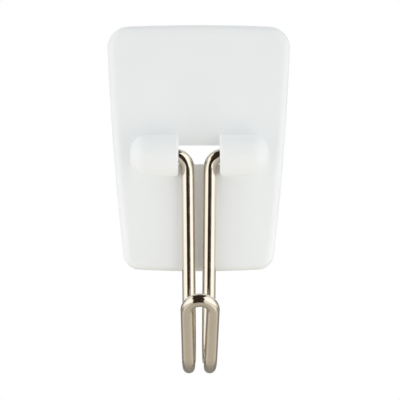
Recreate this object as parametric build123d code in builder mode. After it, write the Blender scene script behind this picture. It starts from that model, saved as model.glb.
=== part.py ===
from build123d import *
import os
from math import atan, cos, degrees, radians, sin, sqrt, tan

# Wall hook: a moulded plate with two bosses, and a bent wire that swings in them.
# The wall is the plane Y = 0, the front faces -Y, and the origin is the middle of the plate's back.

# Plate outline, seen from the front
plate_height = 29.7
plate_top_width = 22.2
plate_foot_width = 17.8
plate_edge_bow = 0.3
top_corner_radius = 2.6
foot_corner_radius = 2.0

# Plate section
plate_thickness = 2.4
front_edge_radius = 1.0

# Bosses
pivot_drop = 0.8
boss_diameter = 5.0
boss_gap = 5.0
boss_edge_margin = 2.0
boss_end_radius = 2.1
boss_end_wall = 1.4
boss_rim_chamfer = 0.2

# Wire
wire_diameter = 1.6
wire_end_chamfer = 0.15
hook_drop = 25.3
foot_spacing = 2.3
foot_radius = 3.5
tip_rise = 8.35
tip_lean = 38.0
tip_flat = 0.1
bend_inset = 0.45

# Clearances and snap fit
wire_clearance = 0.05
stub_end_clearance = 0.2
leg_plate_clearance = 0.15
leg_boss_clearance = 0.35
window_clearance = 0.35
tip_window_clearance = 0.12
mouth_flare = 0.22
snap_interference = 0.2
snap_lip_depth = 0.6
recess_corner_radius = 0.4

# Pivot of the wire, in front of the plate
wire_radius = wire_diameter / 2
pivot_z = -pivot_drop
pivot_depth = plate_thickness + leg_plate_clearance + wire_radius
pivot_plane = Plane((0, -pivot_depth, pivot_z), x_dir=(1, 0, 0), z_dir=(0, -1, 0))
pivot_axis = Axis((0, -pivot_depth, pivot_z), (1, 0, 0))

# Corners of the plate before they are rounded
top_corner = (plate_top_width / 2, plate_height / 2 - plate_edge_bow)
foot_corner = (plate_foot_width / 2, plate_edge_bow - plate_height / 2)
side_middle = ((plate_top_width + plate_foot_width) / 4 + plate_edge_bow, 0)

# Bosses and the bores in them
boss_start = boss_gap / 2
boss_end = side_middle[0] - boss_edge_margin
boss_length = boss_end - boss_start
bore_radius = wire_radius + wire_clearance
bore_end = boss_end - boss_end_wall
window_height = wire_diameter + 2 * window_clearance
snap_mouth = wire_diameter - snap_interference
snap_depth = pivot_depth - sqrt(bore_radius**2 - (snap_mouth / 2) ** 2)
recess_depth = snap_depth - snap_lip_depth

# Widths of the bent wire between the centres of its two sides
leg_spacing = boss_gap - 2 * leg_boss_clearance - wire_diameter
tip_spacing = boss_gap - 2 * tip_window_clearance - wire_diameter
leg_bend_radius = wire_radius + leg_boss_clearance + bend_inset
stub_end = bore_end - stub_end_clearance

# The leg and the leaning tip meet in a sharp V below the hook, which the foot radius rounds
foot_start_z = pivot_z - hook_drop + foot_radius
vee_z = foot_start_z - foot_radius / tan(radians(tip_lean / 2))
vee_spacing = leg_spacing + (foot_spacing - leg_spacing) * (pivot_z - vee_z) / (pivot_z - foot_start_z)

# The tip is a U whose two sides spread a little towards its top
tip_z = pivot_z - hook_drop + tip_rise
tip_length = (tip_z - vee_z) / cos(radians(tip_lean))
tip_depth = pivot_depth + tip_length * sin(radians(tip_lean))
tip_turn = 90 + degrees(atan((tip_spacing - vee_spacing) / 2 / tip_length))
tip_radius = (tip_spacing - tip_flat) / 2 / tan(radians(tip_turn / 2))

with BuildPart() as base_plate:
    # Tapered plate with four slightly bowed edges and a rounded front edge
    with BuildSketch(Plane.XZ):
        with BuildLine():
            ThreePointArc((-top_corner[0], top_corner[1]), (0, plate_height / 2), top_corner)
            ThreePointArc(top_corner, side_middle, foot_corner)
            ThreePointArc(foot_corner, (0, -plate_height / 2), (-foot_corner[0], foot_corner[1]))
            mirror(edges().sort_by(Axis.X)[-1], about=Plane.YZ)
        make_face()
        fillet(vertices().group_by(Axis.Y)[-1], top_corner_radius)
        fillet(vertices().group_by(Axis.Y)[0], foot_corner_radius)
    extrude(amount=plate_thickness)
    fillet(faces().sort_by(Axis.Y)[0].edges(), front_edge_radius)

    # Bosses: straight sides up to the pivot, then a half-round front with a rounded outer end
    with BuildSketch(pivot_plane):
        with Locations((boss_start, 0)):
            Rectangle(boss_length, boss_diameter, align=(Align.MIN, Align.CENTER))
        fillet(vertices().group_by(Axis.X)[-1], boss_end_radius)
        mirror(about=Plane.YZ)
    extrude(amount=plate_thickness - pivot_depth)
    with BuildSketch(pivot_plane):
        with Locations((boss_start, 0)):
            Rectangle(boss_length, boss_diameter / 2, align=(Align.MIN, Align.MIN))
        fillet(vertices().group_by(Axis.X)[-1].sort_by(Axis.Y)[-1], boss_end_radius)
        mirror(about=Plane.YZ)
    revolve(axis=pivot_axis, revolution_arc=180)

    # Broken edges round the inner faces
    inner_faces = faces().filter_by(Axis.X).sort_by(SortBy.AREA)[-2:]
    chamfer(inner_faces.edges().filter_by(Axis.Z, reverse=True), boss_rim_chamfer)

    # Window between the bosses, which the bent tip is threaded through from behind
    with BuildSketch(Plane.XZ):
        with Locations((0, pivot_z)):
            Rectangle(boss_gap, window_height)
    extrude(amount=plate_thickness, mode=Mode.SUBTRACT)

    # Recess in the back and the narrower throat that the stubs snap through
    with BuildSketch(Plane.XZ):
        with Locations((0, pivot_z)):
            RectangleRounded(2 * bore_end, window_height, recess_corner_radius)
    extrude(amount=recess_depth, mode=Mode.SUBTRACT)
    with BuildSketch(Plane.XZ):
        with Locations((0, pivot_z)):
            Rectangle(2 * bore_end, snap_mouth)
    extrude(amount=pivot_depth, mode=Mode.SUBTRACT)

    # Bores for the stubs, flared at the mouth for the bends
    with BuildSketch(pivot_plane):
        with Locations((boss_start, 0)):
            Rectangle(bore_end - boss_start, bore_radius, align=(Align.MIN, Align.MIN))
        with BuildLine():
            Polyline(
                (boss_start, 0),
                (boss_start, bore_radius + mouth_flare),
                (boss_start + bend_inset, bore_radius),
                (boss_start + bend_inset, 0),
                close=True,
            )
        make_face()
        mirror(about=Plane.YZ)
    revolve(axis=pivot_axis, mode=Mode.SUBTRACT)

with BuildPart() as wire_hook:
    # Corners of one side of the wire, from the end of its stub to the tip
    right_side = [
        Vector(stub_end, -pivot_depth, pivot_z),
        Vector(leg_spacing / 2, -pivot_depth, pivot_z),
        Vector(vee_spacing / 2, -pivot_depth, vee_z),
        Vector(tip_spacing / 2, -tip_depth, tip_z),
    ]
    left_side = [Vector(-corner.X, corner.Y, corner.Z) for corner in reversed(right_side)]
    bends = [leg_bend_radius, foot_radius, tip_radius]
    with BuildLine() as wire_path:
        FilletPolyline(*right_side, *left_side, radius=bends + bends[::-1])
    with BuildSketch(Plane(wire_path.line @ 0, z_dir=wire_path.line % 0)):
        Circle(wire_radius)
    sweep()
    chamfer(faces().filter_by(Axis.X).edges(), wire_end_chamfer)

base_plate.part.label = "base_plate"
wire_hook.part.label = "wire_hook"

os.makedirs("parts", exist_ok=True)
export_step(base_plate.part, "parts/base_plate.step")
export_step(wire_hook.part, "parts/wire_hook.step")
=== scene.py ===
from math import cos, pi, radians, sin, tan

import bpy
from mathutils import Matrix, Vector

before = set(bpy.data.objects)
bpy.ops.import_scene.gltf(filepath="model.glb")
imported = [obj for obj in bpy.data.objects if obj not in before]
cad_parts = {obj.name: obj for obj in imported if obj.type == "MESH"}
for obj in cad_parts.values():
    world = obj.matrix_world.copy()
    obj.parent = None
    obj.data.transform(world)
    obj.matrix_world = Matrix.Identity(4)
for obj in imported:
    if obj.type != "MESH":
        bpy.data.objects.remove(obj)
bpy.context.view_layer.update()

# Lengths are in metres, apart from the camera's lens and sensor. Angles are in degrees, seen from the hook:
# azimuth from the front towards the right, and elevation from level upwards.

# Camera: nearly square to the plate, a little to its left and above it, through a long lens
CAMERA_AZIMUTH = -0.75
CAMERA_ELEVATION = 1.7
CAMERA_AIM = Vector((0.00014, -0.0024, -0.00622))
CAMERA_LENS = 600.0
SENSOR_WIDTH = 36.0
VIEW_WIDTH = 0.04822
CAMERA_DISTANCE = VIEW_WIDTH * CAMERA_LENS / SENSOR_WIDTH

# Studio: white all round, with a pale table under the hook, soft panels round it, a grey flag behind each
# side of it, and a dark curtain behind the camera that runs on over it
BACKDROP_COLOUR = (1.0, 1.0, 1.0, 1.0)
BACKDROP_LEVEL = 1.0
AMBIENT_LEVEL = 0.42
MATT_ROUGHNESS = 0.9
TONE_NOISE = (6.0, 2.0)
TONE_SHADE = 0.97

# The table has a painted shade: it turns grey in a wedge that widens towards the back. TABLE_FADE is where
# the painted shade begins and where it is full along the middle, and TABLE_WEDGE is how far back that moves
# for each metre to the side.
TABLE_DROP = 1.3
TABLE_RADIUS = 6.5
TABLE_SIDES = 96
TABLE_COLOUR = (0.745, 0.695, 0.605, 1.0)
TABLE_PAINTED_SHADE = (0.43, 0.412, 0.38, 1.0)
TABLE_FADE = (-0.45, 0.6)
TABLE_WEDGE = 0.65
TABLE_GLOW = 0.03
TABLE_ROUGHNESS = 0.35

# Inner and outer azimuth, lower and upper elevation, and brightness of each panel, and the lower share of it
# that fades out, which is too small to see where it is EVEN
EVEN = 0.01
PANEL_DISTANCE = 1.2
FRONT_PANELS = {"left": (15, 88, -58, 58, 0.5, 0.5), "right": (15, 88, -58, 58, 0.58, 0.25)}
RIM_PANELS = {"left": (62, 130, -35, 35, 0.72, 0.3), "right": (80, 130, -35, 35, 0.6, 0.3)}
LOW_PANELS = (50, 116, -52, -33, 0.25, EVEN)
TOP_PANEL = (-60, 60, 55, 95, 0.45, EVEN)
BACK_PANEL = (135, 225, -45, 45, 0.35, EVEN)
# The fill panels stand low and close to the hook, so they light the plate's foot more than its top
FILL_PANELS = (18, 74, -57, -12, 0.5, EVEN)
FILL_DISTANCE = 0.066

# Inner and outer azimuth, lower and upper elevation of the grey flags behind both sides
FLAG_EDGES = (112, 165, -22, 26)
FLAG_DISTANCE = 1.0
FLAG_COLOUR = (0.36, 0.35, 0.34, 1.0)

# Elevation, left edge and right edge of the curtain, up and over the hook
CURTAIN_EDGES = (
    (-38, -0.32, 0.14),
    (-14, -0.51, 0.21),
    (-4.6, -0.57, 0.24),
    (-4.5, -0.62, 0.62),
    (0.5, -0.62, 0.62),
    (0.6, -0.58, 0.25),
    (20, -0.64, 0.40),
    (36, -0.70, 0.40),
    (53, -0.98, 0.24),
    (68, -0.66, 0.42),
    (112, -0.50, 0.42),
)
CURTAIN_DISTANCE = 1.0
CURTAIN_COLOUR = (0.038, 0.022, 0.012, 1.0)

# Finishes. A noise is its scale, in features per metre, and its detail, and a bump its strength and height.
NOISE_RANGE = (0.3, 0.7)
PLASTIC_COLOUR = (0.917, 0.943, 0.951, 1.0)
PLASTIC_SHADE = (0.897, 0.923, 0.931, 1.0)
PLASTIC_ROUGHNESS = (0.38, 0.46)
MOTTLE_NOISE = (180.0, 3.0)
GRAIN_NOISE = (9000.0, 2.0)
GRAIN_BUMP = (0.06, 0.00002)
NICKEL_COLOUR = (0.68, 0.615, 0.515, 1.0)
NICKEL_SHADE = (0.648, 0.587, 0.485, 1.0)
NICKEL_ROUGHNESS = (0.08, 0.13)
CLOUD_NOISE = (700.0, 3.0)
RIPPLE_NOISE = (1200.0, 1.0)
RIPPLE_BUMP = (0.05, 0.00001)
LACQUER_WEIGHT = 1.0
LACQUER_ROUGHNESS = 0.1
LACQUER_IOR = 1.6

# Bounces of light, enough for the wire and the bosses to show in each other
MAX_BOUNCES = 24
GLOSSY_BOUNCES = 16
DIFFUSE_BOUNCES = 8


def direction(azimuth, elevation):
    """The way from the hook towards a point at that azimuth and elevation."""
    a, e = radians(azimuth), radians(elevation)
    return Vector((sin(a) * cos(e), -cos(a) * cos(e), sin(e)))


def stand(thing, azimuth, elevation, distance):
    """Puts the camera or a lamp into the scene at that place, facing the hook."""
    way = direction(azimuth, elevation)
    thing.location = CAMERA_AIM + distance * way
    thing.rotation_euler = (-way).to_track_quat("-Z", "Y").to_euler()
    bpy.context.scene.collection.objects.link(thing)


def add_node(tree, kind, **settings):
    """A new shader node with these settings."""
    node = tree.nodes.new(kind)
    for name, value in settings.items():
        setattr(node, name, value)
    return node


def new_material(name):
    """A new material, with its node tree and its shader."""
    material = bpy.data.materials.new(name)
    material.use_nodes = True
    tree = material.node_tree
    return material, tree, tree.nodes["Principled BSDF"]


def noise(tree, scale, detail):
    """The value of a noise texture on the object's own coordinates."""
    place = add_node(tree, "ShaderNodeTexCoord")
    texture = add_node(tree, "ShaderNodeTexNoise")
    texture.inputs["Scale"].default_value = scale
    texture.inputs["Detail"].default_value = detail
    tree.links.new(place.outputs["Object"], texture.inputs["Vector"])
    return texture.outputs["Fac"]


def mix_colours(tree, factor, low, high):
    """A colour that runs from low to high with the factor."""
    mix = add_node(tree, "ShaderNodeMix", data_type="RGBA")
    mix.inputs["A"].default_value = low
    mix.inputs["B"].default_value = high
    tree.links.new(factor, mix.inputs["Factor"])
    return mix.outputs["Result"]


def spread(tree, value, low, high):
    """Maps a noise value to the range from low to high."""
    span = add_node(tree, "ShaderNodeMapRange")
    span.inputs["From Min"].default_value, span.inputs["From Max"].default_value = NOISE_RANGE
    span.inputs["To Min"].default_value = low
    span.inputs["To Max"].default_value = high
    tree.links.new(value, span.inputs["Value"])
    return span.outputs["Result"]


def add_bump(tree, shader, value, strength, height):
    """Raises and lowers the look of the surface with a noise value."""
    bump = add_node(tree, "ShaderNodeBump")
    bump.inputs["Strength"].default_value = strength
    bump.inputs["Distance"].default_value = height
    tree.links.new(value, bump.inputs["Height"])
    tree.links.new(bump.outputs["Normal"], shader.inputs["Normal"])


def plastic():
    """Satin white moulding: a faint flow mottle, and the fine grain of an etched mould."""
    material, tree, shader = new_material("satin_white_plastic")
    mottle = noise(tree, *MOTTLE_NOISE)
    grain = noise(tree, *GRAIN_NOISE)
    tree.links.new(mix_colours(tree, mottle, PLASTIC_SHADE, PLASTIC_COLOUR), shader.inputs["Base Color"])
    tree.links.new(spread(tree, mottle, *PLASTIC_ROUGHNESS), shader.inputs["Roughness"])
    add_bump(tree, shader, grain, *GRAIN_BUMP)
    return material


def nickel():
    """Bright, lacquered nickel on drawn wire: warm, with faint cloudy patches and a slight ripple."""
    material, tree, shader = new_material("bright_nickel")
    shader.inputs["Metallic"].default_value = 1.0
    cloud = noise(tree, *CLOUD_NOISE)
    tree.links.new(mix_colours(tree, cloud, NICKEL_SHADE, NICKEL_COLOUR), shader.inputs["Base Color"])
    tree.links.new(spread(tree, cloud, *NICKEL_ROUGHNESS), shader.inputs["Roughness"])
    add_bump(tree, shader, noise(tree, *RIPPLE_NOISE), *RIPPLE_BUMP)
    shader.inputs["Coat Weight"].default_value = LACQUER_WEIGHT
    shader.inputs["Coat Roughness"].default_value = LACQUER_ROUGHNESS
    shader.inputs["Coat IOR"].default_value = LACQUER_IOR
    return material


def plain(name, colour):
    """A matt surface of the studio, with a slight unevenness of tone."""
    material, tree, shader = new_material(name)
    shader.inputs["Roughness"].default_value = MATT_ROUGHNESS
    tone = noise(tree, *TONE_NOISE)
    darker = (*(TONE_SHADE * c for c in colour[:3]), 1.0)
    tree.links.new(mix_colours(tree, tone, darker, colour), shader.inputs["Base Color"])
    return material


def dress(node, material):
    """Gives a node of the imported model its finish."""
    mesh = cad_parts[node].data
    mesh.materials.clear()
    mesh.materials.append(material)


def stage_mesh(name, points, faces, material):
    """A surface of the studio, which isn't part of the hook."""
    mesh = bpy.data.meshes.new(name)
    mesh.from_pydata(points, [], faces)
    mesh.materials.append(material)
    thing = bpy.data.objects.new(name, mesh)
    bpy.context.scene.collection.objects.link(thing)
    return thing


def table_top():
    """Satin, warm white board that glows a little, and a painted shade greys it in a wedge towards the back.
    """
    material, tree, shader = new_material("pale_table")
    place = add_node(tree, "ShaderNodeTexCoord")
    split = add_node(tree, "ShaderNodeSeparateXYZ")
    fade = add_node(tree, "ShaderNodeMapRange", interpolation_type="SMOOTHSTEP")
    fade.inputs["From Min"].default_value, fade.inputs["From Max"].default_value = TABLE_FADE
    side = add_node(tree, "ShaderNodeMath", operation="ABSOLUTE")
    depth = add_node(tree, "ShaderNodeMath", operation="MULTIPLY_ADD")
    depth.inputs[1].default_value = -TABLE_WEDGE
    tree.links.new(place.outputs["Object"], split.inputs[0])
    tree.links.new(split.outputs["X"], side.inputs[0])
    tree.links.new(side.outputs[0], depth.inputs[0])
    tree.links.new(split.outputs["Y"], depth.inputs[2])
    tree.links.new(depth.outputs[0], fade.inputs["Value"])
    # Painted shade: the table's colour runs to grey in a wedge behind the hook, and its glow takes the same
    # colour
    colour = mix_colours(tree, fade.outputs["Result"], TABLE_COLOUR, TABLE_PAINTED_SHADE)
    tree.links.new(colour, shader.inputs["Base Color"])
    tree.links.new(colour, shader.inputs["Emission Color"])
    shader.inputs["Emission Strength"].default_value = TABLE_GLOW
    shader.inputs["Roughness"].default_value = TABLE_ROUGHNESS
    return material


def table():
    """A round table top under the hook, below the view of the camera."""
    angles = [radians(360 * i / TABLE_SIDES) for i in range(TABLE_SIDES)]
    rim = [(TABLE_RADIUS * cos(angle), TABLE_RADIUS * sin(angle), -TABLE_DROP) for angle in angles]
    stage_mesh("table", rim, [range(TABLE_SIDES)], table_top())


def curtain():
    """The dark side of the studio, which shows only as a reflection in the wire."""
    points = []
    for elevation, left, right in CURTAIN_EDGES:
        middle = CURTAIN_DISTANCE * direction(0, elevation)
        points += [Vector((left, middle.y, middle.z)), Vector((right, middle.y, middle.z))]
    faces = [(2 * i, 2 * i + 1, 2 * i + 3, 2 * i + 2) for i in range(len(CURTAIN_EDGES) - 1)]
    thing = stage_mesh("curtain", points, faces, plain("dark_curtain", CURTAIN_COLOUR))
    thing.visible_camera = False
    thing.visible_diffuse = False


def flag(name, side):
    """A grey screen behind one side of the hook, which darkens the edges of the wire's reflections."""
    inner, outer, low, high = FLAG_EDGES
    corners = [(inner, low), (outer, low), (outer, high), (inner, high)]
    points = [FLAG_DISTANCE * direction(side * azimuth, elevation) for azimuth, elevation in corners]
    thing = stage_mesh(name, points, [range(len(points))], plain(name, FLAG_COLOUR))
    thing.visible_camera = False
    thing.visible_diffuse = False
    thing.visible_shadow = False


def fade_panel(light, share):
    """Dims the lower share of a panel towards its edge."""
    light.use_nodes = True
    tree = light.node_tree
    place = add_node(tree, "ShaderNodeNewGeometry")
    split = add_node(tree, "ShaderNodeSeparateXYZ")
    ramp = add_node(tree, "ShaderNodeMapRange", interpolation_type="SMOOTHSTEP")
    ramp.inputs["From Max"].default_value = share
    tree.links.new(place.outputs["Parametric"], split.inputs[0])
    tree.links.new(split.outputs["Y"], ramp.inputs["Value"])
    tree.links.new(ramp.outputs["Result"], tree.nodes["Emission"].inputs["Strength"])


def panel(name, side, inner, outer, low, high, brightness, fade, distance=PANEL_DISTANCE):
    """A soft light that faces the hook, between two azimuths and two elevations."""
    azimuth = (inner + outer) / 2
    elevation = (low + high) / 2
    light = bpy.data.lights.new(name, "AREA")
    light.shape = "RECTANGLE"
    light.size = 2 * distance * tan(radians(outer - azimuth))
    light.size_y = 2 * distance * tan(radians(high - elevation))
    light.energy = pi * brightness * light.size * light.size_y
    fade_panel(light, fade)
    lamp = bpy.data.objects.new(name, light)
    lamp.visible_camera = False
    stand(lamp, side * azimuth, elevation, distance)
    return lamp


def surroundings():
    """White to the camera and in reflections, and a plain soft light otherwise."""
    world = bpy.data.worlds.new("studio")
    world.use_nodes = True
    tree = world.node_tree
    path = add_node(tree, "ShaderNodeLightPath")
    seen = add_node(tree, "ShaderNodeMath", operation="ADD")
    shown = add_node(tree, "ShaderNodeMath", operation="ADD", use_clamp=True)
    level = add_node(tree, "ShaderNodeMapRange")
    level.inputs["To Min"].default_value = AMBIENT_LEVEL
    level.inputs["To Max"].default_value = BACKDROP_LEVEL
    background = tree.nodes["Background"]
    background.inputs["Color"].default_value = BACKDROP_COLOUR
    tree.links.new(path.outputs["Is Camera Ray"], seen.inputs[0])
    tree.links.new(path.outputs["Is Glossy Ray"], seen.inputs[1])
    tree.links.new(seen.outputs[0], shown.inputs[0])
    tree.links.new(path.outputs["Is Transmission Ray"], shown.inputs[1])
    tree.links.new(shown.outputs[0], level.inputs["Value"])
    tree.links.new(level.outputs["Result"], background.inputs["Strength"])
    bpy.context.scene.world = world


def camera():
    """The camera, at the photograph's viewing angle."""
    lens = bpy.data.cameras.new("camera")
    lens.lens = CAMERA_LENS
    lens.sensor_width = SENSOR_WIDTH
    eye = bpy.data.objects.new("camera", lens)
    stand(eye, CAMERA_AZIMUTH, CAMERA_ELEVATION, CAMERA_DISTANCE)
    bpy.context.scene.camera = eye


dress("base_plate", plastic())
dress("wire_hook", nickel())
table()
curtain()
# Only the front and low panels show in reflections, and the others just light the hook
for side, hand in ((-1, "left"), (1, "right")):
    panel(f"{hand}_front_panel", side, *FRONT_PANELS[hand])
    panel(f"{hand}_rim_panel", side, *RIM_PANELS[hand]).visible_glossy = False
    panel(f"{hand}_low_panel", side, *LOW_PANELS)
    panel(f"{hand}_fill_panel", side, *FILL_PANELS, FILL_DISTANCE).visible_glossy = False
    flag(f"{hand}_flag", side)
panel("top_panel", 1, *TOP_PANEL).visible_glossy = False
panel("back_panel", 1, *BACK_PANEL).visible_glossy = False
surroundings()
camera()
bpy.context.scene.view_settings.view_transform = "Standard"
cycles = bpy.context.scene.cycles
cycles.blur_glossy = 0.0
cycles.max_bounces = MAX_BOUNCES
cycles.glossy_bounces = GLOSSY_BOUNCES
cycles.diffuse_bounces = DIFFUSE_BOUNCES
